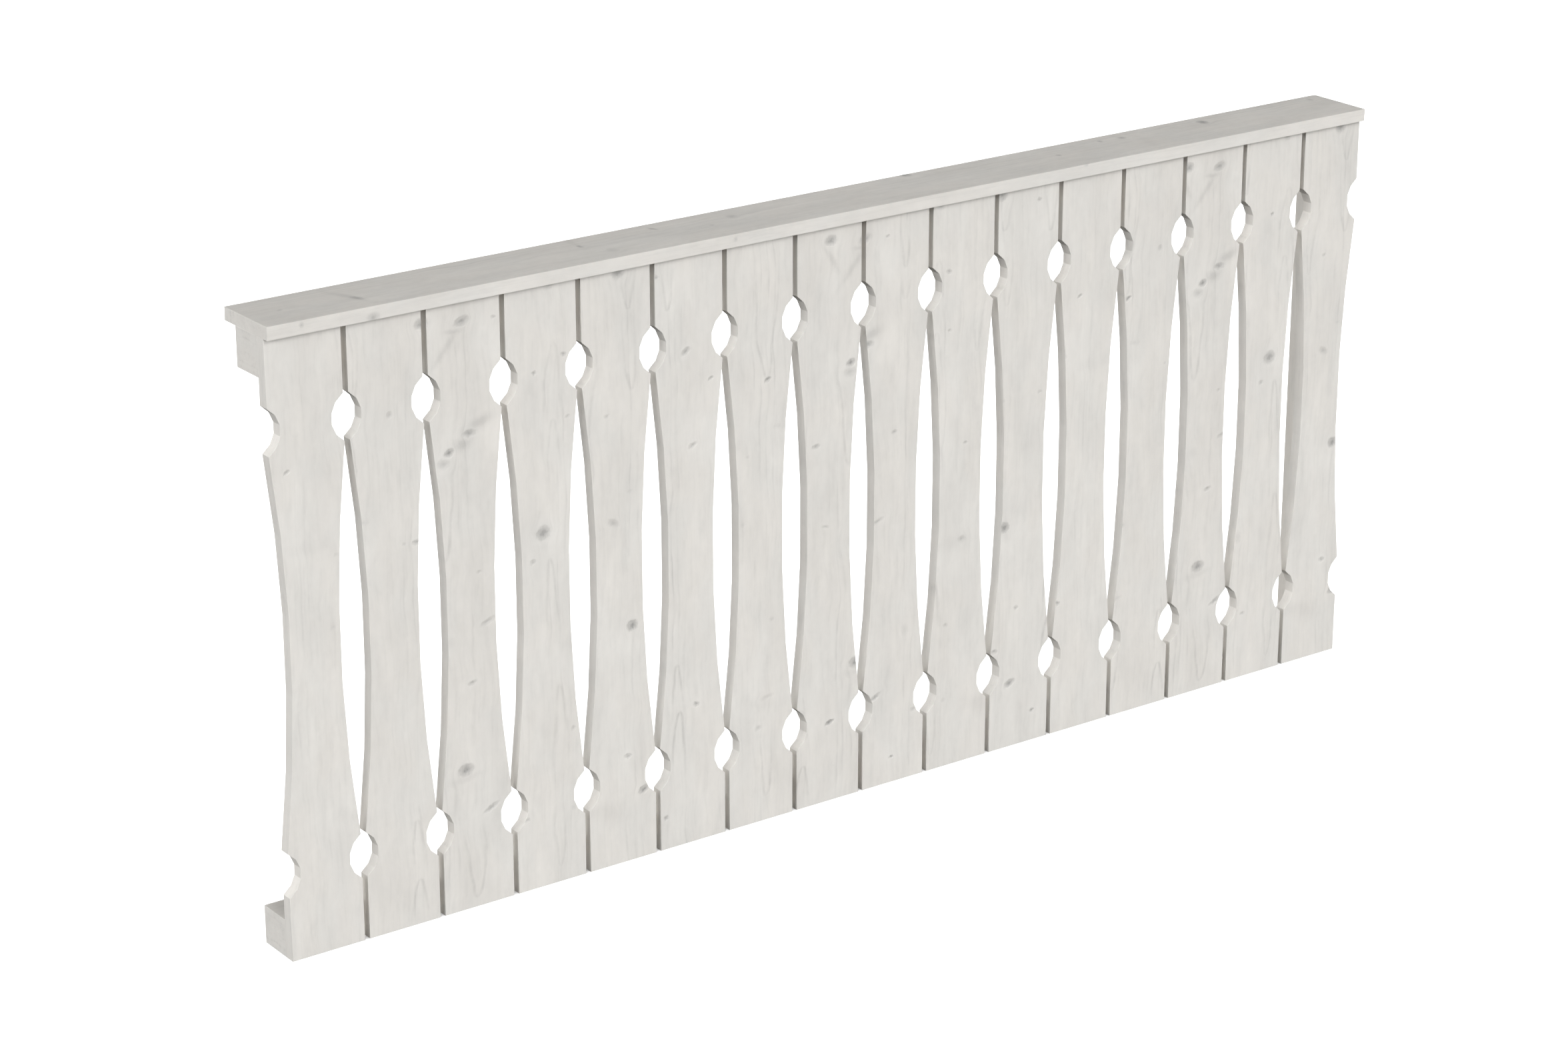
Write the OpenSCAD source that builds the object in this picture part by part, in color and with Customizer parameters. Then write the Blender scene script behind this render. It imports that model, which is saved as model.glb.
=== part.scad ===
// Ready-made timber railing panel for a balcony: a row of upright boards with sawn
// notches and waisted edges, an upper and a lower rail behind them, a stile between
// the rails at the right-hand end, and a flat handrail cap on top. Millimetres,
// +Z up, and the boards face -Y. The origin lies on the back face of the lower
// rail, halfway along it and halfway up it.

/* [Panel] */
// Length of the panel, and so of both rails and the cap
panel_l = 2050; // [800:10:3600]

/* [Baluster boards] */
// Width of a board where it is widest
board_w = 120; // [90:1:150]
// Thickness of a board
board_t = 19; // [12:1:30]
// Length of a board from foot to top
board_l = 940; // [780:5:1150]
// Least gap between two boards; as many boards as fit are spread evenly
least_gap = 8; // [3:1:20]

/* [Sawn edges] */
// Distance from a board's end to the middle of the nearest notch
notch_centre = 135; // [120:1:170]
// Height of a notch along the board's edge
notch_h = 70; // [50:1:90]
// Depth of the notch's arc
notch_d = 20; // [8:1:24]
// Depth of the long arc that gives the board its waist
waist_d = 20; // [6:1:24]
// Straight saw cuts that make up each arc
arc_cuts = 5; // [3:1:24]

/* [Frame behind the boards] */
// Height of a rail's section
rail_h = 60; // [40:1:90]
// Depth of the frame's timber, from the boards to its back face
frame_t = 60; // [30:1:80]
// Width of the stile at the right-hand end
stile_w = 60; // [40:1:90]

/* [Handrail cap] */
// Width of the cap from front to back
cap_w = 120; // [90:1:180]
// Thickness of the cap
cap_t = 20; // [12:1:40]
// How far the cap stands out in front of the boards
cap_front = 11; // [0:1:20]

/* [Hidden] */
// Boards in the row, the gap that is left between two of them, and their spacing
board_count = floor((panel_l + least_gap) / (board_w + least_gap));
board_gap = (panel_l - board_count * board_w) / (board_count - 1);
pitch = board_w + board_gap;

// Colours of the white glaze: the upright timber, and the cap, which is seen from above
glaze = [0.87, 0.86, 0.84];
cap_glaze = [0.80, 0.80, 0.78];

// Ends of the panel
left = -panel_l / 2;
right = panel_l / 2;

// From the frame's back face at y = 0 towards the front
frame_front = -frame_t;
board_front = frame_front - board_t;
cap_edge = board_front - cap_front;

// Heights: the lower rail is flush with the boards' feet, the upper one with their tops
foot = -rail_h / 2;
board_top = foot + board_l;
upper_rail_z = board_top - rail_h;

// Height of the waist's arc, which runs from notch to notch
waist_h = board_l - 2 * notch_centre - notch_h;

// Name of board i, counted from the left: baluster_01, baluster_02 and so on
function baluster_name(i) = str("baluster_", i < 10 ? "0" : "", i);

// Points [depth into the board, height] of an arc of the given height and depth,
// sawn in equal straight cuts, centred on z_mid. The circle through the arc's two
// ends and its deepest point has the radius r and spans twice the angle half. The
// points run upwards, and start and end on the board's edge.
function sawn_arc(z_mid, height, depth) =
    let (
        r = (height * height / 4 + depth * depth) / (2 * depth),
        half = 2 * atan(2 * depth / height)
    )
    [
        for (i = [0:arc_cuts])
        let (a = half * (2 * i / arc_cuts - 1))
        [r * cos(a) - r + depth, z_mid + r * sin(a)]
    ];

// A list of points without its two ends
function inner(points) = [for (i = [1:len(points) - 2]) points[i]];

// One edge of a board from foot to top. The waist starts and ends at the corners of
// the notches, so those two points are left out of it.
edge = concat(
    [[0, 0]],
    sawn_arc(notch_centre, notch_h, notch_d),
    inner(sawn_arc(board_l / 2, waist_h, waist_d)),
    sawn_arc(board_l - notch_centre, notch_h, notch_d),
    [[0, board_l]]
);

// Face of a board: the right edge going up, then the left edge coming down
module board_outline() {
    right_edge = [for (p = edge) [board_w - p[0], p[1]]];
    left_edge = [for (i = [len(edge) - 1:-1:0]) edge[i]];
    polygon(concat(right_edge, left_edge));
}

// Upright board number i, counted from the left
module baluster(i) {
    color(glaze)
        translate([left + (i - 1) * pitch, frame_front, foot])
            rotate([90, 0, 0])
                linear_extrude(board_t)
                    board_outline();
}

// Rail behind the boards, with its underside at height z
module rail(z) {
    color(glaze)
        translate([left, frame_front, z])
            cube([panel_l, frame_t, rail_h]);
}

module upper_rail() {
    rail(upper_rail_z);
}

module lower_rail() {
    rail(foot);
}

// Upright between the two rails, flush with their right-hand ends
module end_stile() {
    stile_foot = foot + rail_h;
    color(glaze)
        translate([right - stile_w, frame_front, stile_foot])
            cube([stile_w, frame_t, upper_rail_z - stile_foot]);
}

// Flat board that lies on the upper rail and on the tops of the boards
module handrail_cap() {
    color(cap_glaze)
        translate([left, cap_edge, board_top])
            cube([panel_l, cap_w, cap_t]);
}

for (i = [1:board_count])
    baluster(i);
upper_rail();
lower_rail();
end_stile();
handrail_cap();
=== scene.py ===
"""Looks of a ready-made balcony railing panel: sixteen sawn boards, two rails, an end stile
and a handrail cap in planed spruce under a white glaze, with zinc screws on the hidden side.

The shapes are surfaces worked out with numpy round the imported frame, in metres. The timber
materials work in millimetres, in each piece's own directions: across its face, into its
depth, and along its grain.
"""

import math

import bpy
import numpy as np
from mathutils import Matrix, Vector


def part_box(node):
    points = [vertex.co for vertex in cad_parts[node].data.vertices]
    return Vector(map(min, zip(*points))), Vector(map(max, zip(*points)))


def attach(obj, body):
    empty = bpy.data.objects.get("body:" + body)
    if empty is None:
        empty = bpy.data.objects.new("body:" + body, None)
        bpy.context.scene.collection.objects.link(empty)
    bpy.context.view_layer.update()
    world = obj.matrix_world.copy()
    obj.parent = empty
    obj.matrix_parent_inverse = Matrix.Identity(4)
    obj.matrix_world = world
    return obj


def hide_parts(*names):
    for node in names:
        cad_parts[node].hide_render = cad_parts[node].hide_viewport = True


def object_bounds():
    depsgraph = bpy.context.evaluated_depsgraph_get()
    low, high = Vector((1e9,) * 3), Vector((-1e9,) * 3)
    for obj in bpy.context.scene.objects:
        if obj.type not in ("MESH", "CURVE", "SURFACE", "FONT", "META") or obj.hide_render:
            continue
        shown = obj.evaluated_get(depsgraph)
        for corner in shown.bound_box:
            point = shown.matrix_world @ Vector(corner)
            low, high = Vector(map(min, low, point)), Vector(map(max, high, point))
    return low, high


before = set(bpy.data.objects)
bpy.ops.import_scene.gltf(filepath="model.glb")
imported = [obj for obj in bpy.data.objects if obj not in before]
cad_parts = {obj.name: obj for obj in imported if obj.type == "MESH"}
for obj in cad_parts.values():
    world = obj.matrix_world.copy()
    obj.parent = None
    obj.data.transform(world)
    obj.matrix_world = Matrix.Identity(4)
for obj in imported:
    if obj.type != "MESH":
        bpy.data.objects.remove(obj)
cad_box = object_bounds()
MM = 0.001

# --- Sizes that the frame's boxes don't give -------------------------------------------------
NOTCH_CENTRE = 135 * MM  # from a board's end to the middle of the nearest notch
NOTCH_H = 70 * MM
NOTCH_DEPTH = 20 * MM
WAIST_DEPTH = 20 * MM
ARC_CUTS = 5  # straight saw cuts in each arc
BOARD_ARRIS = 0.3 * MM  # radius of the eased edges
FRAME_ARRIS = 0.3 * MM
FRAME_CORNER = 1.5 * FRAME_ARRIS  # radius of the rails', the stile's and the cap's corners
ARRIS_STEPS = 3

BOARDS = sorted(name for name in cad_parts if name.startswith("baluster"))
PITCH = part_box(BOARDS[1])[0].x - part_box(BOARDS[0])[0].x

# --- Camera and light ------------------------------------------------------------------------
CAMERA_LENS, CAMERA_SENSOR = 90, 36  # mm
CAMERA_AZIMUTH = 36.08  # degrees round from the front towards the left end
CAMERA_ELEVATION = 20.14
CAMERA_DISTANCE = 5.968
CAMERA_AIM = (-0.1492, 0.4558)  # along the panel and up, in the plane of the boards' front
# Name, direction towards it, power, spread in degrees
STUDIO_LIGHTS = (
    ("front_light", (0.00, -1.00, 0.40), 2.75, 50),
    ("left_light", (-0.80, -0.30, 0.50), 0.93, 30),
    ("side_light", (-0.95, 0.05, 0.30), 0.66, 35),
    ("back_left_light", (-0.60, 0.74, 0.28), 1.43, 35),
    ("right_light", (1.00, 0.10, 0.10), 0.30, 30),
    ("back_light", (0.55, 0.83, -0.15), 1.00, 20),
)
FLOOR_POWER = 7.0
FLOOR_SPREAD = 100
AMBIENT = 0.01
SKY_COLOUR = (0.94, 0.97, 1.0, 1)
FLOOR_WHITE = 0.86
STAGE_ROUGHNESS = 0.9
STAGE_RADIUS = 24
STAGE_SIDES = 96


def place_camera():
    """The camera looks at a point a little left of the middle of the boards' front."""
    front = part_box(BOARDS[0])[0].y
    target = Vector((CAMERA_AIM[0], front, CAMERA_AIM[1]))
    turn, rise = math.radians(CAMERA_AZIMUTH), math.radians(CAMERA_ELEVATION)
    back = Vector((-math.sin(turn) * math.cos(rise), -math.cos(turn) * math.cos(rise), math.sin(rise)))
    data = bpy.data.cameras.new("camera")
    data.lens = CAMERA_LENS
    data.sensor_width = CAMERA_SENSOR
    camera = bpy.data.objects.new("camera", data)
    camera.location = target + back * CAMERA_DISTANCE
    camera.rotation_euler = (math.pi / 2 - rise, 0, -turn)
    bpy.context.scene.collection.objects.link(camera)
    bpy.context.scene.camera = camera


def soft_sun(name, towards, power, spread):
    """A wide soft light from the direction towards, given as a vector from the object to it."""
    data = bpy.data.lights.new(name, "SUN")
    data.energy = power
    data.angle = math.radians(spread)
    sun = bpy.data.objects.new(name, data)
    sun.rotation_euler = Vector(towards).to_track_quat("Z", "Y").to_euler()
    bpy.context.scene.collection.objects.link(sun)
    return sun


def lights_only(sun, receiver, included):
    """The light falls on nothing but receiver, or on everything but receiver."""
    group = bpy.data.collections.new(sun.name + "_falls_on")
    group.objects.link(receiver)
    sun.light_linking.receiver_collection = group
    group.collection_objects[0].light_linking.link_state = "INCLUDE" if included else "EXCLUDE"


def plain_stage():
    """A pale floor under the feet of the boards, inside a white drum, and soft studio light. The
    floor and the drum are only seen: they neither light nor shade the railing."""
    ground = cad_box[0].z
    floor = disc_piece("floor", STAGE_RADIUS, ground)
    drum = drum_piece("backdrop", STAGE_RADIUS, ground, 2 * STAGE_RADIUS)
    for piece, albedo, glow in ((floor, FLOOR_WHITE, 0.0), (drum, 0.0, 1.0)):
        piece.data.materials.append(stage_paint(piece.name + "_paint", albedo, glow))
        piece.visible_diffuse = False
        piece.visible_glossy = False
        piece.visible_shadow = False
    for light in STUDIO_LIGHTS:
        lights_only(soft_sun(*light), floor, False)
    above = soft_sun("floor_light", (0, 0, 1), FLOOR_POWER, FLOOR_SPREAD)
    lights_only(above, floor, True)
    world = bpy.data.worlds.new("studio")
    world.use_nodes = True
    sky = world.node_tree.nodes["Background"]
    sky.inputs["Color"].default_value = SKY_COLOUR
    sky.inputs["Strength"].default_value = AMBIENT
    bpy.context.scene.world = world
    bpy.context.scene.view_settings.view_transform = "Standard"


def stage_paint(name, albedo, glow):
    """Matt white, or an even white glow for the backdrop."""
    material = bpy.data.materials.new(name)
    material.use_nodes = True
    shader = material.node_tree.nodes["Principled BSDF"]
    shader.inputs["Base Color"].default_value = (albedo, albedo, albedo, 1)
    shader.inputs["Roughness"].default_value = STAGE_ROUGHNESS
    shader.inputs["Specular IOR Level"].default_value = 0.0
    shader.inputs["Emission Color"].default_value = (1, 1, 1, 1)
    shader.inputs["Emission Strength"].default_value = glow
    return material


# --- Surfaces --------------------------------------------------------------------------------
def mesh_piece(name, points, faces):
    """An object at the origin from an array of points and a list of arrays of face corners."""
    mesh = bpy.data.meshes.new(name)
    corners = [face for group in faces for face in np.asarray(group).tolist()]
    mesh.from_pydata(np.asarray(points).tolist(), [], corners)
    mesh.validate()
    piece = bpy.data.objects.new(name, mesh)
    bpy.context.scene.collection.objects.link(piece)
    return piece


def grid_faces(rows, columns, closed):
    """Four-cornered faces of a grid of rows times columns, numbered row by row; a closed grid
    also joins its last column to its first."""
    row = np.arange(rows - 1)[:, None] * columns
    here = np.arange(columns if closed else columns - 1)[None, :]
    there = (here + 1) % columns
    return np.stack([row + here, row + columns + here, row + columns + there, row + there], -1).reshape(-1, 4)


def ring_points(turn, radius, height):
    """Points round the Z axis: (radius times cosine, radius times sine, height) of each turn."""
    return np.column_stack([radius * np.cos(turn), radius * np.sin(turn), np.full(len(turn), height)])


def disc_piece(name, radius, height):
    """A level disc: the points of a circle, as one face that looks up."""
    turn = np.linspace(0, 2 * np.pi, STAGE_SIDES, endpoint=False)
    return mesh_piece(name, ring_points(turn, radius, height), [np.arange(STAGE_SIDES)[None, :]])


def drum_piece(name, radius, foot, height):
    """An upright drum that looks inwards, closed by a flat lid."""
    turn = np.linspace(0, 2 * np.pi, STAGE_SIDES, endpoint=False)
    rings = [ring_points(turn, radius, z) for z in (foot, foot + height)]
    lid = np.arange(STAGE_SIDES, 2 * STAGE_SIDES)[None, ::-1]
    return mesh_piece(name, np.concatenate(rings), [grid_faces(2, STAGE_SIDES, True), lid])


def sawn_arc(middle, height, depth):
    """Points (depth into the board, height) of an arc in equal straight cuts. The circle through
    the arc's ends and its deepest point has the radius (height squared / 4 + depth squared) /
    (2 depth), and half the arc spans twice the angle whose tangent is 2 depth / height."""
    radius = (height**2 / 4 + depth**2) / (2 * depth)
    turn = 2 * math.atan(2 * depth / height) * np.linspace(-1, 1, ARC_CUTS + 1)
    return np.stack([radius * np.cos(turn) - radius + depth, middle + radius * np.sin(turn)], -1)


def board_edge(length):
    """One edge of a board from foot to top: a notch, the waist and a notch, with the waist's own
    ends left out because the notches' corners stand there."""
    waist = length - 2 * NOTCH_CENTRE - NOTCH_H
    return np.concatenate([
        [[0, 0]],
        sawn_arc(NOTCH_CENTRE, NOTCH_H, NOTCH_DEPTH),
        sawn_arc(length / 2, waist, WAIST_DEPTH)[1:-1],
        sawn_arc(length - NOTCH_CENTRE, NOTCH_H, NOTCH_DEPTH),
        [[0, length]],
    ])


def straight_edge(length, corner):
    """One edge of a plain timber, with its two corners rounded to quarter circles."""
    turn = np.linspace(0, np.pi / 2, ARRIS_STEPS + 1)
    foot = corner * np.stack([1 - np.sin(turn), 1 - np.cos(turn)], -1)
    top = [0, length] + foot[::-1] * [1, -1]
    return np.concatenate([foot, top])


def inset(outline, distance):
    """The closed outline moved inwards: each corner moves along the half-way direction between
    its two edges' inward normals, divided by the cosine of half the angle between them."""
    ahead = np.roll(outline, -1, 0) - outline
    normal = np.stack([-ahead[:, 1], ahead[:, 0]], -1) / np.linalg.norm(ahead, axis=1)[:, None]
    before = np.roll(normal, 1, 0)
    half = normal + before
    return outline + distance * half * (2 / (half**2).sum(1))[:, None]


def eased_plate(name, edge, width, thickness, arris, place):
    """A plate whose outline is an edge and its mirror image. The profile of an eased arris (a
    quarter circle, the flat side, a quarter circle) is carried round the outline, and rows of
    faces from edge to edge close the front and the back. place puts the points (across, up,
    into the depth) in the room."""
    right = np.stack([width - edge[:, 0], edge[:, 1]], -1)
    outline = np.concatenate([right, edge[::-1]])
    turn = np.linspace(0, np.pi / 2, ARRIS_STEPS + 1)
    inwards = arris * (1 - np.sin(turn))
    depth = arris * (1 - np.cos(turn))
    profile = list(zip(inwards, depth)) + list(zip(inwards[::-1], thickness - depth[::-1]))
    rings = [np.column_stack([inset(outline, i), np.full(len(outline), d)]) for i, d in profile]
    count, rows = len(outline), np.arange(len(edge) - 1)
    front = np.stack([count - 1 - rows, rows, rows + 1, count - 2 - rows], -1)
    back = front[:, ::-1] + count * (len(rings) - 1)
    piece = mesh_piece(name, place(np.concatenate(rings)), [grid_faces(len(rings), count, True), front, back])
    arris_row = np.repeat(np.arange(len(rings) - 1) != ARRIS_STEPS, count)
    smooth = np.concatenate([arris_row, np.zeros(2 * len(rows), bool)])
    piece.data.polygons.foreach_set("use_smooth", smooth)
    return piece


def upright(node):
    """Places a plate's points in a node that stands with its front towards -Y."""
    low = np.array(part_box(node)[0])
    return lambda points: low + points[:, [0, 2, 1]]


def lying(node):
    """Places a plate's points in a node that lies flat, with its front face on top."""
    low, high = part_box(node)
    corner = np.array([low.x, low.y, high.z])
    return lambda points: corner + points * [1, 1, -1]


def seat(piece, node):
    """The piece takes its CAD node's place: the node is hidden and the piece hangs from the root body."""
    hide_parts(node)
    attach(piece, "root")


# --- Node trees ------------------------------------------------------------------------------
MIX_SOCKETS, MIX_RESULT = (0, 6, 7), 2  # a colour mix node's factor, its two colours and its result
SEED_STEP = (7.3, 3.1, 5.7)  # how far one step of a seed moves a noise
NOISE_RANGE = (0.25, 0.75)  # a noise's usual low and high


class Bench:
    """Adds nodes to one tree. Every call returns the new node's output."""

    def __init__(self, tree):
        self.tree = tree

    def node(self, kind, inputs=(), output=0, **settings):
        """A node of that kind; inputs maps a name or a number to a value or to another output."""
        made = self.tree.nodes.new("ShaderNode" + kind)
        for key, value in settings.items():
            setattr(made, key, value)
        for key, value in dict(inputs).items():
            self.feed(made.inputs[key], value)
        return made.outputs[output]

    def feed(self, socket, value):
        """Links another output to the socket, or sets its value."""
        if isinstance(value, bpy.types.NodeSocket):
            self.tree.links.new(value, socket)
        else:
            socket.default_value = value

    def math(self, operation, *values, clamp=False):
        """A sum with plain numbers."""
        return self.node("Math", dict(enumerate(values)), operation=operation, use_clamp=clamp)

    def vector(self, operation, *values):
        """A sum with vectors; a length or a dot product gives a plain number."""
        output = "Value" if operation in ("LENGTH", "DOT_PRODUCT") else "Vector"
        return self.node("VectorMath", dict(enumerate(values)), output, operation=operation)

    def spread(self, value, low, high, to_low=0.0, to_high=1.0, smooth=False):
        """The value carried from one range to another, and held at its ends."""
        kind = "SMOOTHSTEP" if smooth else "LINEAR"
        ends = {"Value": value, "From Min": low, "From Max": high, "To Min": to_low, "To Max": to_high}
        return self.node("MapRange", ends, interpolation_type=kind)

    def noise(self, point, stretch, seed, detail=2.0, roughness=0.5):
        """Noise of the point, whose patches are stretch = (across, deep, along) mm in size."""
        away = [seed * step for step in SEED_STEP]
        size = [1 / s for s in stretch]
        moved = self.node("Mapping", {"Vector": point, "Location": away, "Scale": size})
        values = {"Vector": moved, "Scale": 1.0, "Detail": detail, "Roughness": roughness}
        return self.node("TexNoise", values, "Fac")

    def change(self, noise, most):
        """From -most to most, as the noise goes from its usual low to its usual high."""
        return self.spread(noise, *NOISE_RANGE, -most, most)

    def colour_mix(self, share, first, second):
        """A colour between two, where share 0 gives the first and 1 the second."""
        made = self.tree.nodes.new("ShaderNodeMix")
        made.data_type = "RGBA"
        for socket, value in zip(MIX_SOCKETS, (share, first, second)):
            self.feed(made.inputs[socket], value)
        return made.outputs[MIX_RESULT]

    def split(self, vector):
        """The three numbers of a vector."""
        made = self.tree.nodes.new("ShaderNodeSeparateXYZ")
        self.feed(made.inputs[0], vector)
        return list(made.outputs)


def node_group(name, inputs, outputs):
    """An empty node group with named sockets; a socket is given as (name, kind)."""
    tree = bpy.data.node_groups.new(name, "ShaderNodeTree")
    for way, sockets in (("INPUT", inputs), ("OUTPUT", outputs)):
        for label, kind in sockets:
            tree.interface.new_socket(label, in_out=way, socket_type="NodeSocket" + kind)
    return tree, tree.nodes.new("NodeGroupInput").outputs, tree.nodes.new("NodeGroupOutput").inputs


def ramp(bench, value, stops, interpolation):
    """A colour that follows the value, 0 to 1, through stops given as (value, red, green, blue)."""
    made = bench.tree.nodes.new("ShaderNodeValToRGB")
    made.color_ramp.interpolation = interpolation
    stones = made.color_ramp.elements
    while len(stones) < len(stops):
        stones.new(0.5)
    for stone, (at, *colour) in zip(stones, stops):
        stone.position = at
        stone.color = (*colour, 1)
    bench.feed(made.inputs[0], value)
    return made.outputs[0]


MARK_REACH = 3.0  # how many radii a mark's profile runs out over
# Distance as a share of the reach; then how strong the shade, the halo and the bell are there
MARK_PROFILE = (
    (0.00, 0.98, 0.00, 1.00), (0.08, 0.86, 0.00, 1.00), (0.15, 0.64, 0.00, 0.97),
    (0.22, 0.46, 0.00, 0.91), (0.28, 0.37, 0.00, 0.82), (0.33, 0.22, 0.12, 0.72),
    (0.38, 0.07, 0.50, 0.64), (0.44, 0.01, 0.60, 0.50), (0.54, 0.00, 0.60, 0.33),
    (0.72, 0.00, 0.20, 0.14), (1.00, 0.00, 0.00, 0.00),
)


def mark_group():
    """One mark in the timber, such as a knot or a smudge. Its profile by distance gives the
    shade of a dark core in a paler disc, a halo round the disc, and a soft bell; each is weighted
    and added to the marks that come in. The bell also bends the grain round the mark: the point
    that goes on to the next mark and to the grain is moved across towards the mark's middle."""
    tree, given, made = node_group(
        "mark",
        [("Point", "Vector"), ("Marks", "Vector"), ("Centre", "Vector"), ("Reach", "Vector"),
         ("Tilt", "Vector"), ("Weights", "Vector"), ("Pull", "Float")],
        [("Point", "Vector"), ("Marks", "Vector")],
    )
    bench = Bench(tree)
    place = {"Vector": "Point", "Location": "Centre", "Rotation": "Tilt", "Scale": "Reach"}
    place = {socket: given[label] for socket, label in place.items()}
    local = bench.node("Mapping", place, vector_type="TEXTURE")
    profile = ramp(bench, bench.vector("LENGTH", local), MARK_PROFILE, "B_SPLINE")
    bench.feed(made["Marks"], bench.vector("MULTIPLY_ADD", profile, given["Weights"], given["Marks"]))
    offset = bench.vector("SUBTRACT", given["Centre"], given["Point"])
    bell = bench.split(profile)[2]
    across = bench.node("CombineXYZ", {0: bench.math("MULTIPLY", bell, given["Pull"])})
    bench.feed(made["Point"], bench.vector("MULTIPLY_ADD", offset, across, given["Point"]))
    return tree


ARCH_HALF = 3.6  # half the width of an arched line, in mm
ARCH_TIP, ARCH_END = (-0.02, 0.03), (0.15, 1.0)  # shares of its length where it sets in and fades


def arch_group():
    """One arched grain line: a parabola whose tip is given and whose half width grows with the
    square root of the distance from the tip, fading along it."""
    tree, given, made = node_group(
        "arch",
        [("Point", "Vector"), ("Shade", "Float"), ("Tip", "Vector"), ("Way", "Float"),
         ("Width", "Float"), ("Length", "Float"), ("Dark", "Float")],
        [("Shade", "Float")],
    )
    bench = Bench(tree)
    across, _, along = bench.split(bench.vector("SUBTRACT", given["Point"], given["Tip"]))
    share = bench.math("DIVIDE", bench.math("MULTIPLY", along, given["Way"]), given["Length"])
    opened = bench.math("SQRT", bench.math("MAXIMUM", share, 0.0))
    half_width = bench.math("MULTIPLY", opened, given["Width"])
    off_line = bench.math("SUBTRACT", bench.math("ABSOLUTE", across), half_width)
    line = bench.spread(bench.math("ABSOLUTE", off_line), 0.0, ARCH_HALF, 1.0, 0.0, smooth=True)
    fade = bench.math(
        "MULTIPLY",
        bench.spread(share, *ARCH_TIP, 0.0, 1.0, smooth=True),
        bench.spread(share, *ARCH_END, 1.0, 0.0, smooth=True),
    )
    dark = bench.math("MULTIPLY", bench.math("MULTIPLY", line, fade), given["Dark"])
    bench.feed(made["Shade"], bench.math("ADD", dark, given["Shade"]))
    return tree


GROUPS = {}


def use_group(bench, make, inputs):
    """Puts a node group in the tree, made once, and returns its outputs."""
    if make not in GROUPS:
        GROUPS[make] = make()
    made = bench.tree.nodes.new("ShaderNodeGroup")
    made.node_tree = GROUPS[make]
    for key, value in inputs.items():
        bench.feed(made.inputs[key], value)
    return list(made.outputs)


# --- Timber ----------------------------------------------------------------------------------
GLAZE = (0.811, 0.784, 0.739, 1)
GLAZE_COOL = (0.799, 0.779, 0.739, 1)
GLAZE_PALE = (0.850, 0.828, 0.787, 1)
KNOT_GREY = (0.360, 0.355, 0.342, 1)
GLOSS = 0.35
GLAZE_ROUGHNESS, KNOT_ROUGHNESS = (0.52, 0.62), -0.10  # a knot adds its own to the glaze's
LINE_HALF = 2.4  # half the width of a grain line, in mm
LINE_MARGIN = 3 * LINE_HALF  # how far a board's grain lines are worked out past its edges
# Share of the length; then how much a line's three strengths count there
LINE_THIRDS = ((0.18, 1, 0, 0), (0.50, 0, 1, 0), (0.82, 0, 0, 1))
RING_STEP, RING_WOBBLE = 3.4, 3.0  # mm from one growth ring to the next, and how far they wander
SWAY = 8  # mm that the slow noise could move the grain lines by
WANDER, WANDER_SCALE = 5.0, 0.18  # how far the marks' outlines could wander in mm, and the noise's scale
GRAIN_WANDER = -0.8  # the grain takes this share of it off again
# Sizes of the noise patches, in mm across, deep and along
TINT_SIZE = (60, 60, 95)
PATCH_SIZE = (52, 52, 170)
MOTTLE_SIZE = (8, 8, 18)
FIBRE_SIZE = (2.6, 2.6, 24)
GRIT_SIZE = (3.2, 3.2, 3.8)
# How much each layer takes off the glaze's colour, as a share of it
STREAK_DARK, LINE_DARK, BOTH_DARK = 0.028, 0.026, 0.038
PATCH_DARK, MOTTLE_DARK, FIBRE_DARK = 0.055, 0.020, 0.008
RING_DARK = 0.022
HALO_PALE = 0.5  # how far a halo turns the glaze pale
# From where to where a noise or a direction counts as one of these
STREAK_EDGE = (0.47, 0.66)
COOL_EDGE = (0.35, 0.65)
END_EDGE = (0.7, 0.95)
END_SMOOTH = 0.7  # how much weaker the flecks and the fibres are on the end grain
# A noise's low and high, and the strengths that it gives the streaks, the arches and the cores
STREAK_MOTTLE = (0.2, 0.7, 0.7, 1.3)
ARCH_MOTTLE = (0.25, 0.6, 0.6, 1.4)
CORE_GRIT = (0.3, 0.7, 0.86, 1.14)
# Relief, in mm
PATCH_RISE, STREAK_RISE, ARCH_RISE, FIBRE_RISE = 0.9, -1.2, -1.6, 0.03


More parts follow.
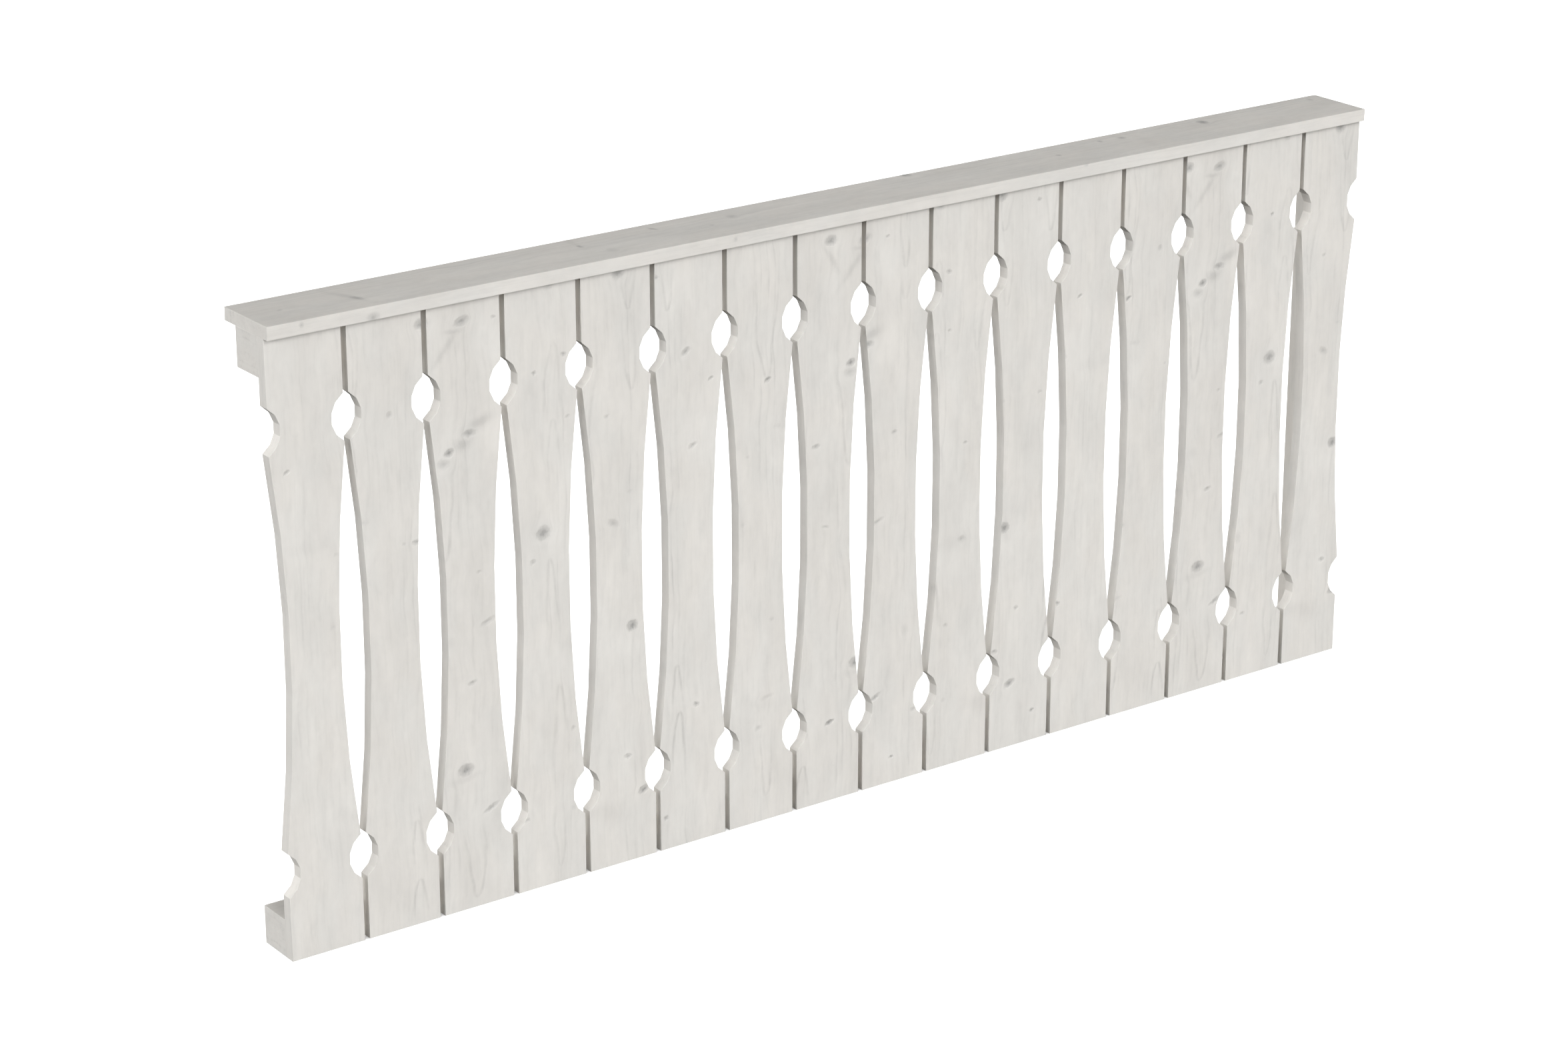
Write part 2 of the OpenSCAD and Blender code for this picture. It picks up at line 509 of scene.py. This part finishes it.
def timber(name, to_grain, marks, arches, lines, pith, streak, dimple, seed):
    """Planed spruce under a white glaze.

    to_grain turns the object's coordinates into mm (across, deep, along). The grain is dark
    lines at the places given in lines, and streaks from noise whose patches are streak mm wide
    and long. A slow noise sways them, and each mark bends them round itself. Growth rings are
    circles round the pith, given as (across, deep), and show on the end grain. Knots are darker
    and lie below the face, dimple mm at their darkest.
    """
    material = bpy.data.materials.new(name)
    material.use_nodes = True
    bench = Bench(material.node_tree)
    shader = material.node_tree.nodes["Principled BSDF"]
    coordinates = bench.tree.nodes.new("ShaderNodeTexCoord")
    point = to_grain(bench, coordinates.outputs["Object"])
    facing = to_grain(bench, coordinates.outputs["Normal"], turn_only=True)

    # Marks, whose outlines wander a little
    cloud = {"Vector": point, "Scale": WANDER_SCALE, "Detail": 2.0, "Roughness": 0.5}
    cloud = bench.node("TexNoise", cloud, "Color")
    wander = bench.vector("MULTIPLY_ADD", cloud, (WANDER, 0.0, WANDER), (-WANDER / 2, 0.0, -WANDER / 2))
    flow, seen = bench.vector("ADD", point, wander), (0.0, 0.0, 0.0)
    for mark in marks:
        flow, seen = use_group(bench, mark_group, {"Point": flow, "Marks": seen, **mark})
    knot_dark, knot_halo, smudge_dark = bench.split(seen)
    flow = bench.vector("MULTIPLY_ADD", wander, (GRAIN_WANDER,) * 3, flow)
    tint = bench.noise(point, TINT_SIZE, seed + 5, detail=1.0)
    sway = bench.node("CombineXYZ", {0: bench.spread(tint, 0.0, 1.0, -SWAY, SWAY)})
    flow = bench.vector("ADD", sway, flow)

    # Grain: soft patches, mottle, streaks, fibres, lines and arches, all drawn out along the piece
    patches = bench.noise(point, PATCH_SIZE, seed + 4, roughness=0.75)
    mottle = bench.noise(flow, MOTTLE_SIZE, seed + 6, roughness=0.6)
    streaks = bench.noise(flow, (streak[0], *streak), seed + 2)
    fibres = bench.noise(flow, FIBRE_SIZE, seed + 3)
    line_dark = line_strength(bench, flow, *lines)
    streaks = bench.spread(streaks, *STREAK_EDGE, smooth=True)
    streaks = bench.math("MULTIPLY", streaks, bench.spread(mottle, *STREAK_MOTTLE))
    on_lines = bench.math("MULTIPLY_ADD", line_dark, BOTH_DARK, STREAK_DARK)
    streak_dark = bench.math("MULTIPLY", streaks, on_lines)
    streak_dark = bench.math("MULTIPLY_ADD", line_dark, LINE_DARK, streak_dark)
    arch_dark = 0.0
    for arch in arches:
        arch_dark = use_group(bench, arch_group, {"Point": flow, "Shade": arch_dark, **arch})[0]
    arch_dark = bench.math("MULTIPLY", arch_dark, bench.spread(mottle, *ARCH_MOTTLE))
    dark = bench.math("ADD", bench.math("ADD", streak_dark, smudge_dark), arch_dark)
    dark = bench.math("ADD", dark, bench.change(patches, PATCH_DARK))

    # End grain: growth rings, a little darker because it drinks more glaze, and fewer flecks
    centre = bench.vector("MULTIPLY_ADD", point, (1.0, 1.0, 0.0), (-pith[0], -pith[1], 0.0))
    radius = bench.math("MULTIPLY_ADD", mottle, RING_WOBBLE, bench.vector("LENGTH", centre))
    rings = bench.math("SINE", bench.math("MULTIPLY", radius, 2 * math.pi / RING_STEP))
    end = bench.spread(bench.math("ABSOLUTE", bench.split(facing)[2]), *END_EDGE, smooth=True)
    dark = bench.math("MULTIPLY_ADD", end, bench.spread(rings, -1.0, 1.0, 0.0, RING_DARK), dark)
    along_grain = bench.math("SUBTRACT", 1.0, bench.math("MULTIPLY", end, END_SMOOTH))
    fine = bench.math("ADD", bench.change(mottle, MOTTLE_DARK), bench.change(fibres, FIBRE_DARK))
    dark = bench.math("MULTIPLY_ADD", fine, along_grain, dark)

    # Colour: two casts of the glaze, paler round a knot, and the knots' gritty cores
    glaze = bench.colour_mix(bench.spread(tint, *COOL_EDGE, smooth=True), GLAZE, GLAZE_COOL)
    pale = bench.math("MULTIPLY", knot_halo, HALO_PALE, clamp=True)
    lit = bench.vector("SCALE", bench.colour_mix(pale, glaze, GLAZE_PALE))
    bench.feed(lit.node.inputs["Scale"], bench.math("SUBTRACT", 1.0, dark))
    grit = bench.noise(point, GRIT_SIZE, seed + 7, detail=1.0)
    core = bench.math("MULTIPLY", knot_dark, bench.spread(grit, *CORE_GRIT), clamp=True)
    bench.feed(shader.inputs["Base Color"], bench.colour_mix(core, lit, KNOT_GREY))
    rough = bench.spread(fibres, 0.3, 0.7, *GLAZE_ROUGHNESS)
    rough = bench.math("MULTIPLY_ADD", knot_dark, KNOT_ROUGHNESS, rough)
    bench.feed(shader.inputs["Roughness"], rough)
    shader.inputs["Specular IOR Level"].default_value = GLOSS

    # Relief in mm: the knots are dimples, the grain lines and the streaks faint grooves
    relief = bench.math("MULTIPLY", bench.math("MULTIPLY", fibres, FIBRE_RISE), along_grain)
    layers = ((patches, PATCH_RISE), (streak_dark, STREAK_RISE), (arch_dark, ARCH_RISE), (knot_dark, -dimple))
    for layer, height in layers:
        relief = bench.math("MULTIPLY_ADD", layer, height, relief)
    bump = bench.node("Bump", {"Strength": 1.0, "Distance": MM, "Height": relief})
    bench.feed(shader.inputs["Normal"], bump)
    return material


def line_strength(bench, grain, lines, first, last, length):
    """How dark the grain lines are at a point of the grain, between first and last mm across and
    over the piece's length. One ramp across holds each line's three strengths as a colour, and
    one ramp along gives how much each of them counts there."""
    none = (0, 0, 0)
    stops = [(0.0, *none)]
    for across, *strength in lines:
        for aside, colour in ((-LINE_HALF, none), (0, strength), (LINE_HALF, none)):
            stops.append(((across + aside - first) / (last - first), *colour))
    across, _, along = bench.split(grain)
    strength = ramp(bench, bench.spread(across, first, last), stops, "EASE")
    shares = ramp(bench, bench.spread(along, 0.0, length), LINE_THIRDS, "EASE")
    return bench.vector("DOT_PRODUCT", strength, shares)


def grain_frame(low, high, order, start=0.0, both_faces=False):
    """How a piece's coordinates become mm (across, deep, along) from its lowest corner. order
    gives the room axis, 0 to 2, of each. start is added across, and with both_faces the depth
    counts from the nearer face, so a mark of little depth shows on both."""
    corner = [-c / MM for c in low]
    thickness = (high - low)[order[1]] / MM
    corner[order[0]] += start

    def to_grain(bench, vector, turn_only=False):
        if not turn_only:
            vector = bench.node("Mapping", {"Vector": vector, "Location": corner, "Scale": (1 / MM,) * 3})
        numbers = bench.split(vector)
        places = [numbers[axis] for axis in order]
        if both_faces and not turn_only:
            inside = bench.math("ABSOLUTE", bench.math("SUBTRACT", places[1], thickness / 2))
            places[1] = bench.math("SUBTRACT", thickness / 2, inside)
        return bench.node("CombineXYZ", dict(enumerate(places)))

    return to_grain


# The boards are cut side by side from sheets of one timber, so their marks come round again.
# Places are mm: across the sheet, and up from the boards' feet.
SHEET_PERIOD = 714
SHEET_START = 199  # where on the sheet the first board's left edge lies
SHEET_PITH = (357, 260)
KNOT_DEPTH = 1.2  # how deep a board's knots and smudges reach
FULL_PULL = 8  # half height from which a knot bends the grain fully
SMUDGE_REACH, SMUDGE_PULL = 2, 0.1  # in half widths, and how much it bends the grain
BOARD_DIMPLE, CAP_DIMPLE = 2.3, 1.0
BOARD_STREAK, CAP_STREAK = (5.5, 85), (4.5, 260)
BOARD_SEED, CAP_SEED, RAIL_SEED = 0, 40, 60

# Across, up, half width, half height, tilt in degrees, dark, halo
SHEET_KNOTS = (
    (64, 932, 10, 9, 0, 0.78, 0.5), (81, 382, 9, 9, 0, 0.92, 0.9), (97, 111, 10, 6, 25, 0.80, 0.2),
    (448, 916, 11, 8, 5, 0.76, 0.5), (512, 908, 12, 7, 15, 0.68, 0.2), (519, 740, 10, 6, 0, 0.66, 0.4),
    (487, 717, 8, 6, 20, 0.84, 0.6), (499, 223, 12, 9.5, 5, 0.88, 0.6), (536, 153, 13, 4, 28, 0.50, 0.3),
    (539, 448, 12, 4, 25, 0.34, 0.2), (642, 562, 12, 10.5, 5, 0.82, 1.0), (659, 935, 7, 5, 0, 0.37, 0.2),
    (453, 133, 8, 4, 20, 0.84, 0.9), (591, 255, 6, 11, 0, 0.19, 0.5), (708, 383, 7, 6, 0, 0.37, 0.6),
    (182, 792, 9, 5, 30, 0.54, 0.8), (331, 720, 6, 4, 25, 0.70, 0.6), (393, 793, 5, 5, 0, 0.31, 0.2),
    (428, 595, 7, 4, 5, 0.49, 0.7), (51, 551, 10, 6, -35, 0.42, 0.3), (196, 227, 5, 4, -15, 0.62, 0.8),
    (193, 644, 8, 4, 20, 0.40, 0.7), (225, 742, 5, 3, 35, 0.44, 0.3), (69, 173, 6, 4, 0, 0.49, 1.0),
    (141, 52, 4, 4, 0, 0.55, 0.6), (142, 598, 4, 3, 0, 0.25, 0.1), (312, 158, 6, 5, 0, 0.25, 1.0),
    (512, 358, 7, 4, 10, 0.44, 0.8), (569, 43, 4, 3, 0, 0.55, 0.4), (606, 115, 5, 4, 0, 0.34, 0.2),
    (679, 828, 5, 3.5, -30, 0.44, 0.4), (633, 809, 3.5, 3.5, 0, 0.50, 0.6), (625, 521, 5, 4, 30, 0.33, 0.4),
    (557, 905, 3.5, 3, 0, 0.34, 0.1), (527, 527, 3.5, 3.5, 0, 0.25, 0.1), (445, 461, 6, 3, -15, 0.30, 0.6),
    (134, 914, 4, 4, 0, 0.44, 0.1), (43, 719, 4, 4, 0, 0.30, 0.2), (570, 589, 4, 4, 0, 0.41, 0.2),
    (77, 596, 4, 3, 0, 0.16, 0.1), (294, 605, 4, 3, 0, 0.15, 0.1), (285, 498, 4, 4, 0, 0.16, 0.1),
    (409, 597, 3, 3, 0, 0.22, 0.1), (336, 333, 5, 4, 0, 0.21, 0.1), (682, 733, 4, 3, 0, 0.30, 0.1),
    (682, 243, 4, 4, 0, 0.31, 0.1), (680, 115, 4, 4, 0, 0.16, 0.1), (108, 240, 4, 4, 0, 0.44, 0.1),
    (712, 543, 4, 3, 0, 0.37, 0.1), (483, 702, 9, 8, 0, 0.34, 0.6), (484, 430, 7, 10, 0, 0.10, 0.3),
    (328, 206, 12, 4, 12, 0.20, 0.1), (348, 643, 9, 4, -8, 0.14, 0.1),
)
# Across, up, half width, half height, tilt in degrees, dark, or pale where it is below 0
SHEET_SMUDGES = (
    (531, 755, 16, 7, 22, 0.16), (500, 210, 22, 6, 10, 0.07), (508, 726, 10, 8, 30, 0.21),
    (277, 790, 26, 130, 0, 0.035), (30, 92, 34, 12, -25, 0.06), (260, 625, 26, 12, 0, 0.04),
    (320, 197, 28, 10, -10, 0.04), (22, 355, 4, 26, 0, 0.07), (550, 730, 26, 30, 0, -0.05),
    (695, 382, 26, 12, 0, 0.05), (550, 865, 30, 34, 0, -0.05), (36, 350, 40, 24, 10, -0.04),
    (81, 350, 16, 16, 0, -0.04), (205, 660, 22, 60, 10, -0.04), (456, 886, 24, 4, -64, 0.10),
    (489, 872, 33, 4, 56, 0.10), (500, 896, 11, 3, -5, 0.10),
)
# Tip across, tip up, 1 where it opens upwards and -1 downwards, half width, length, dark
SHEET_ARCHES = (
    (165, 300, -1, 13, 140, 0.10), (167, 222, -1, 13, 120, 0.12), (412, 72, -1, 14, 90, 0.09),
    (412, 167, -1, 12, 110, 0.08), (655, 522, -1, 13, 190, 0.07), (662, 320, -1, 14, 200, 0.06),
    (662, 850, -1, 20, 220, 0.05), (662, 735, -1, 14, 140, 0.05), (328, 722, 1, 26, 260, 0.08),
    (155, 860, 1, 10, 100, 0.08), (80, 875, 1, 12, 80, 0.07), (80, 752, 1, 12, 110, 0.06),
    (17, 690, 1, 12, 220, 0.06), (583, 850, 1, 9, 110, 0.08), (583, 800, 1, 8, 40, 0.06),
    (325, 40, 1, 13, 150, 0.07), (482, 555, 1, 20, 300, 0.08), (510, 15, 1, 18, 150, 0.09),
    (660, 25, 1, 12, 140, 0.06),
)
# Across, how dark the grain line is near the foot, in the middle and near the top
SHEET_LINES = (
    (9, 0.2, 0.5, 0.5), (20, 0.2, 0.5, 0.9), (65, 0.5, 0.2, 0.5), (78, 0.8, 0.6, 0.8),
    (89, 0.6, 0.5, 0.4), (145, 0.2, 0.2, 0.6), (157, 0.7, 1.8, 1.1), (167, 0.2, 1.0, 0.6),
    (177, 0.8, 0.5, 0.2), (220, 0.1, 0.2, 0.4), (234, 0.4, 0.7, 0.1), (244, 0.2, 0.7, 0.1),
    (254, 0.4, 0.8, 0.7), (285, 0.2, 0.3, 0.5), (305, 0.3, 0.4, 1.0), (317, 0.2, 0.3, 0.9),
    (329, 0.5, 0.4, 1.1), (341, 0.5, 0.4, 0.9), (360, 0.1, 0.1, 0.3), (404, 0.9, 0.7, 0.5),
    (417, 1.0, 1.1, 0.5), (453, 0.2, 0.5, 0.9), (466, 1.0, 0.9, 0.6), (474, 1.0, 0.2, 0.2),
    (486, 0.9, 0.1, 0.1), (501, 0.3, 0.6, 0.9), (513, 0.4, 0.5, 1.0), (525, 0.6, 0.1, 0.4),
    (575, 0.2, 0.3, 0.7), (586, 0.7, 1.6, 0.9), (597, 0.6, 0.2, 0.3), (652, 0.6, 0.7, 0.5),
    (666, 0.6, 0.6, 0.3), (677, 0.3, 0.5, 0.9), (700, 0.2, 0.2, 0.3),
)


def on_sheet(place, start, width):
    """Where a mark that comes round again lies nearest to the middle of the board that starts
    there."""
    middle = start + width / 2
    return middle + (place - middle + SHEET_PERIOD / 2) % SHEET_PERIOD - SHEET_PERIOD / 2


def mark_inputs(across, up, reach, tilt, weights, pull):
    """A mark's place and strength as the inputs of its group."""
    return {
        "Centre": (across, 0, up), "Reach": reach, "Tilt": (0, -math.radians(tilt), 0),
        "Weights": weights, "Pull": pull,
    }


def knot(across, up, half_w, half_h, tilt, dark, halo, depth=KNOT_DEPTH):
    """A knot as the inputs of a mark; its bell bends the grain round it."""
    reach = (MARK_REACH * half_w, MARK_REACH * depth, MARK_REACH * half_h)
    return mark_inputs(across, up, reach, tilt, (dark, halo, 0), min(1.0, half_h / FULL_PULL))


def smudge(across, up, half_w, half_h, tilt, dark, depth=KNOT_DEPTH):
    """A soft patch or streak as the inputs of a mark."""
    reach = (SMUDGE_REACH * half_w, SMUDGE_REACH * depth, SMUDGE_REACH * half_h)
    return mark_inputs(across, up, reach, tilt, (0, 0, dark), SMUDGE_PULL)


def board_marks(start, width):
    """The sheet's marks and arches that touch the board which starts there, as inputs of the
    groups, and the grain lines that lie on it, from left to right."""
    marks, arches = [], []
    middle = start + width / 2
    for kind, sheet in ((knot, SHEET_KNOTS), (smudge, SHEET_SMUDGES)):
        for across, up, half_w, *rest in sheet:
            place = on_sheet(across, start, width)
            if abs(place - middle) < width / 2 + 2 * half_w:
                marks.append(kind(place, up, half_w, *rest))
    for across, up, way, half_w, length, dark in SHEET_ARCHES:
        place = on_sheet(across, start, width)
        if abs(place - middle) < width / 2 + half_w:
            arches.append({
                "Tip": (place, 0, up), "Way": way, "Width": half_w, "Length": length, "Dark": dark,
            })
    lines = sorted((on_sheet(across, start, width), *strength) for across, *strength in SHEET_LINES)
    lines = [line for line in lines if start - LINE_HALF < line[0] < start + width + LINE_HALF]
    return marks, arches, lines


def make_boards():
    """The upright boards, each with the part of the sheet that falls on it."""
    for index, node in enumerate(BOARDS):
        low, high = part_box(node)
        size = high - low
        edge = board_edge(size.z)
        piece = eased_plate("board_" + node[-2:], edge, size.x, size.y, BOARD_ARRIS, upright(node))
        start = (SHEET_START + index * PITCH / MM) % SHEET_PERIOD
        marks, arches, lines = board_marks(start, size.x / MM)
        lines = (lines, start - LINE_MARGIN, start + size.x / MM + LINE_MARGIN, size.z / MM)
        to_grain = grain_frame(low, high, (0, 1, 2), start, both_faces=True)
        piece.data.materials.append(timber(
            piece.name + "_glaze", to_grain, marks, arches, lines,
            SHEET_PITH, BOARD_STREAK, BOARD_DIMPLE, BOARD_SEED,
        ))
        seat(piece, node)


# Marks of the cap's top, which go right through it, in mm: along, from the front edge, half
# length, half width, tilt in degrees, dark, halo
CAP_KNOTS = (
    (53, 56, 5, 3, 30, 0.36, 0.4), (169, 45, 5, 11, 28, 0.60, 0.5), (288, 116, 4, 4, 0, 0.5, 0.2),
    (560, 75, 3.5, 7, 10, 0.60, 0.4), (588, 36, 8, 10, 0, 0.22, 0.2), (698, 87, 3.5, 9, 25, 0.56, 0.3),
    (780, 57, 4, 4, 0, 0.3, 0.1), (832, 75, 9, 8, 0, 0.34, 0.3), (1184, 105, 10, 9, 0, 0.86, 0.8),
    (1561, 88, 5, 5, 0, 0.6, 0.2), (1604, 85, 7, 5, -10, 0.6, 0.1), (1776, 85, 9, 9, 0, 0.92, 0.5),
    (1452, 66, 5, 4, 0, 0.5, 0.2), (2020, 90, 5, 8, -15, 0.34, 0.1),
)
# The same for its smudges: along, from the front edge, half length, half width, tilt, dark or pale
CAP_SMUDGES = (
    (160, 63, 6, 26, 28, 0.12), (560, 95, 6, 22, 0, 0.07), (1145, 92, 24, 6, 0, 0.05),
    (1600, 112, 8, 22, 0, 0.07), (1625, 60, 10, 30, -20, 0.04), (510, 45, 60, 24, 0, -0.035),
)
# Knots of its front edge, in mm: along, above the underside, half length, half height, dark
CAP_EDGE_KNOTS = (
    (54, 13, 4, 4, 0.44), (167, 3, 10, 8, 0.60), (780, 12, 4, 4, 0.36), (1452, 19, 5, 3, 0.36),
)
EDGE_KNOT_DEPTH, EDGE_KNOT_HALO = 3.6, 0.2
THROUGH = 1e4  # a depth that reaches right through
# From the front edge in mm; how dark the grain line is near the left end, in the middle, near the
# right end
CAP_LINES = (
    (3, 0.5, 0.3, 0.5), (9, 0.4, 0.3, 1.0), (67, 0.2, 0.8, 0.4), (76, 0.4, 1.0, 0.9),
    (84, 1.3, 1.0, 0.5), (91, 1.3, 1.0, 0.8), (99, 0.6, 0.9, 1.0), (107, 0.6, 0.6, 0.6),
    (114, 0.8, 0.7, 0.6),
)
CAP_PITH = (-160, 8)


def cap_marks():
    """The cap's marks: those of its top reach right through, those of its edge a few mm."""
    marks = []
    for along, rise, half_l, half_h, dark in CAP_EDGE_KNOTS:
        mark = knot(0, along, EDGE_KNOT_DEPTH, half_l, 0, dark, EDGE_KNOT_HALO, depth=half_h)
        mark["Centre"] = (0, rise, along)
        marks.append(mark)
    for kind, places in ((knot, CAP_KNOTS), (smudge, CAP_SMUDGES)):
        for along, front, half_l, half_w, tilt, *rest in places:
            marks.append(kind(front, along, half_w, half_l, -tilt, *rest, depth=THROUGH))
    return marks


def make_cap():
    """The handrail cap, which lies with its face up and its grain along the panel."""
    low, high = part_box("handrail_cap")
    size = high - low
    edge = straight_edge(size.y, FRAME_CORNER)
    piece = eased_plate("handrail", edge, size.x, size.z, FRAME_ARRIS, lying("handrail_cap"))
    to_grain = grain_frame(low, high, (1, 2, 0))
    lines = (CAP_LINES, 0, size.y / MM, size.x / MM)
    piece.data.materials.append(timber(
        "cap_glaze", to_grain, cap_marks(), [], lines, CAP_PITH, CAP_STREAK, CAP_DIMPLE, CAP_SEED
    ))
    seat(piece, "handrail_cap")


# Knots of the rails and the stile, in mm: across, along, half width, half length, tilt, dark, halo
RAIL_KNOTS = (
    (21, 160, 5, 6, 20, 0.6, 0.4), (44, 415, 4, 4, 0, 0.5, 0.2), (15, 640, 8, 7, 0, 0.66, 0.8),
    (37, 905, 4, 6, -20, 0.6, 0.4), (24, 1190, 6, 5, 0, 0.5, 0.5), (47, 1420, 4, 4, 0, 0.4, 0.2),
    (30, 1655, 9, 7, 10, 0.6, 0.8), (12, 1880, 4, 4, 0, 0.6, 0.2),
)
STILE_KNOTS = ((19, 210, 5, 7, 15, 0.5, 0.4), (42, 500, 6, 6, 0, 0.6, 0.6))
RAIL_LINES = (
    (6, 0.5, 0.7, 0.4), (13, 0.9, 0.6, 0.9), (27, 0.3, 0.7, 0.5), (39, 0.5, 0.3, 0.8),
    (47, 1.0, 0.8, 0.6), (56, 0.5, 0.6, 0.4),
)
RAIL_PITH = (30, -190)


def make_frame():
    """The two rails and the end stile."""
    for number, (node, name, order, knots) in enumerate((
        ("upper_rail", "rail_top", (2, 1, 0), RAIL_KNOTS),
        ("lower_rail", "rail_bottom", (2, 1, 0), RAIL_KNOTS[::-1]),
        ("end_stile", "stile", (0, 1, 2), STILE_KNOTS),
    )):
        low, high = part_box(node)
        size = high - low
        edge = straight_edge(size.z, FRAME_CORNER)
        piece = eased_plate(name, edge, size.x, size.y, FRAME_ARRIS, upright(node))
        marks = [knot(*mark) for mark in knots]
        to_grain = grain_frame(low, high, order, both_faces=True)
        lines = (RAIL_LINES, 0, size[order[0]] / MM, size[order[2]] / MM)
        piece.data.materials.append(timber(
            name + "_glaze", to_grain, marks, [], lines,
            RAIL_PITH, BOARD_STREAK, CAP_DIMPLE, RAIL_SEED + number,
        ))
        seat(piece, node)


# --- Screws ----------------------------------------------------------------------------------
SCREW_HEAD = 9 * MM
SCREW_ASIDE = 30 * MM  # from a board's centre line
SCREW_STEP = 12 * MM  # above and below the rail's centre line
CAP_SCREWS = 7
SCREW_SIDES = 48
SCREW_SHARP = 40  # degrees between two faces from which their edge stays crisp
DOME_STEPS = 6
DOME_RISE = 0.30  # as a share of the head's diameter
DOME_TURNS = (1.05, 1.5)  # how far the cosine of its radius and the sine of its height run, in radians
SOCKET_LOBES = 6
SOCKET_RADIUS, SOCKET_WAVE = 0.20, 0.16  # shares of the diameter and of that radius
SOCKET_STEPS = ((1.0, 0.0), (0.94, 0.10), (0.05, 0.13))  # share of the mouth, depth / diameter
ZINC_BRIGHT = (0.66, 0.66, 0.64, 1)
ZINC_DULL = (0.52, 0.51, 0.47, 1)
ZINC_SPECKS = 900.0  # scale of the plating's noise, per metre


def screw_heads(name, centres, outwards, diameter):
    """Round-headed screws. One head is a profile turned about its axis: a low dome, whose radius
    follows a cosine and whose height a sine, then the walls and the floor of a six-lobed socket,
    whose radius is a mean radius plus a sixth-order cosine of the turn. The head is repeated at
    every centre."""
    turn = np.linspace(0, 2 * np.pi, SCREW_SIDES, endpoint=False)
    profile = [
        (diameter / 2 * math.cos(a * DOME_TURNS[0]), DOME_RISE * diameter * math.sin(a * DOME_TURNS[1]))
        for a in np.linspace(0, 1, DOME_STEPS)
    ]
    top = profile[-1][1]
    mouth = SOCKET_RADIUS * diameter * (1 + SOCKET_WAVE * np.cos(SOCKET_LOBES * turn))
    profile += [(mouth * share, top - depth * diameter) for share, depth in SOCKET_STEPS]
    head = np.concatenate([ring_points(turn, radius, z) for radius, z in profile])
    faces = grid_faces(len(profile), SCREW_SIDES, True)[:, ::-1]
    floor = np.arange(len(head) - SCREW_SIDES, len(head))
    aside = Vector(outwards).orthogonal().normalized()
    axes = np.array([aside, Vector(outwards).cross(aside), outwards])
    points = (head @ axes)[None] + np.asarray(centres)[:, None]
    first = np.arange(len(centres)) * len(head)
    walls = (faces[None] + first[:, None, None]).reshape(-1, 4)
    piece = mesh_piece(name, points.reshape(-1, 3), [walls, floor[None] + first[:, None]])
    piece.data.shade_smooth()
    piece.data.set_sharp_from_angle(angle=math.radians(SCREW_SHARP))
    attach(piece, "root")
    return piece


def zinc():
    """Dull zinc plating: a speckled grey with a slight yellow cast."""
    material = bpy.data.materials.new("zinc_plating")
    material.use_nodes = True
    bench = Bench(material.node_tree)
    shader = material.node_tree.nodes["Principled BSDF"]
    point = bench.node("TexCoord", output="Object")
    bloom = bench.node("TexNoise", {"Vector": point, "Scale": ZINC_SPECKS, "Detail": 3.0}, "Fac")
    colour = bench.colour_mix(bench.spread(bloom, 0.35, 0.65), ZINC_BRIGHT, ZINC_DULL)
    bench.feed(shader.inputs["Base Color"], colour)
    bench.feed(shader.inputs["Roughness"], bench.spread(bloom, 0.3, 0.7, 0.42, 0.58))
    shader.inputs["Metallic"].default_value = 1.0
    return material


def make_screws():
    """Two screws a board and rail, set diagonally, from behind, and a row up into the cap."""
    plating = zinc()
    centres = []
    for rail in ("upper_rail", "lower_rail"):
        low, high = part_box(rail)
        for node in BOARDS:
            left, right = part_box(node)
            x, z = (left.x + right.x) / 2, (low.z + high.z) / 2
            centres += [(x + s * SCREW_ASIDE, high.y, z + s * SCREW_STEP) for s in (-1, 1)]
    screw_heads("board_screws", centres, (0, 1, 0), SCREW_HEAD).data.materials.append(plating)
    low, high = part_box("upper_rail")
    along = np.linspace(low.x, high.x, 2 * CAP_SCREWS + 1)[1::2]
    under = [(x, (low.y + high.y) / 2, low.z) for x in along]
    screw_heads("cap_screws", under, (0, 0, -1), SCREW_HEAD).data.materials.append(plating)


place_camera()
plain_stage()
make_boards()
make_cap()
make_frame()
make_screws()
